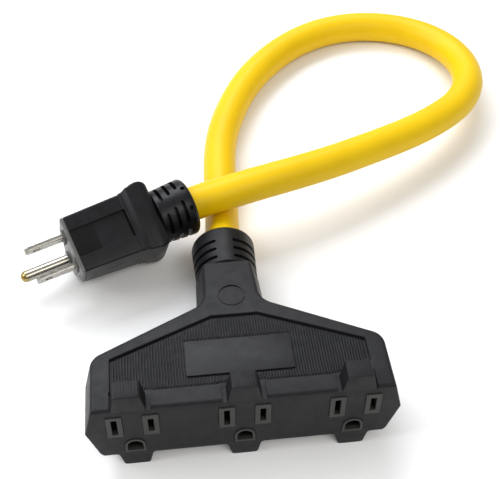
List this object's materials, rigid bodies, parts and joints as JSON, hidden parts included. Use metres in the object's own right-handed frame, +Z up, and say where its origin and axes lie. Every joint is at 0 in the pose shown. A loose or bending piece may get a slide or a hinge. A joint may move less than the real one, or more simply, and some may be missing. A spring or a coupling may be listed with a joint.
{
  "type": "extension cord",
  "caption": "Short heavy-duty extension cord: a grounded flat-blade plug, a thick round cord and a flat wedge-shaped block with a row of grounded outlets, each with a slotted strain relief.",
  "frame": {"origin": "on the floor, under the middle of the outlet block's bounding box, strain relief included; the cord and plug aren't counted", "axes": "+X along the row of outlets, +Y from the outlet face back to the block's cord exit, +Z up; the block leans back 5.2 degrees about its front feet"},
  "size_m": [0.2194, 0.2373, 0.0405],
  "materials": {
    "tap_shell": "matte moulded flexible PVC, dark grey",
    "carrier": "moulded nylon, slightly lighter grey than the shell",
    "cover": "moulded nylon, hidden",
    "contact_brass": "pressed spring brass, bare",
    "line_insulation": "black PVC insulation",
    "neutral_insulation": "white PVC insulation",
    "ground_insulation": "green PVC insulation",
    "copper": "stranded copper, bright",
    "relief": "flexible PVC, near black, matte",
    "plug_body": "moulded flexible PVC, near black, satin",
    "insert": "moulded nylon, light grey",
    "nickel": "nickel-plated brass, fine brushing",
    "pin": "nickel-plated brass, worn to brass at the tip",
    "cord": "yellow flexible PVC jacket, satin"
  },
  "bodies": {
    "root": {"tap_shell": "tap_shell", "tap_contact_carrier": "carrier", "tap_carrier_cover": "cover", "tap_line_bus": "contact_brass", "tap_neutral_bus": "contact_brass", "tap_ground_bus": "contact_brass", "tap_line_conductor": "line_insulation", "tap_line_copper": "copper", "tap_neutral_conductor": "neutral_insulation", "tap_neutral_copper": "copper", "tap_ground_conductor": "ground_insulation", "tap_ground_copper": "copper", "tap_strain_relief": "relief", "plug_body": "plug_body", "plug_face_insert": "insert", "plug_line_blade": "nickel", "plug_neutral_blade": "nickel", "plug_ground_pin": "pin", "plug_line_conductor": "line_insulation", "plug_line_copper": "copper", "plug_neutral_conductor": "neutral_insulation", "plug_neutral_copper": "copper", "plug_ground_conductor": "ground_insulation", "plug_ground_copper": "copper", "plug_strain_relief": "relief", "cord": "cord"}
  },
  "joints": []
}
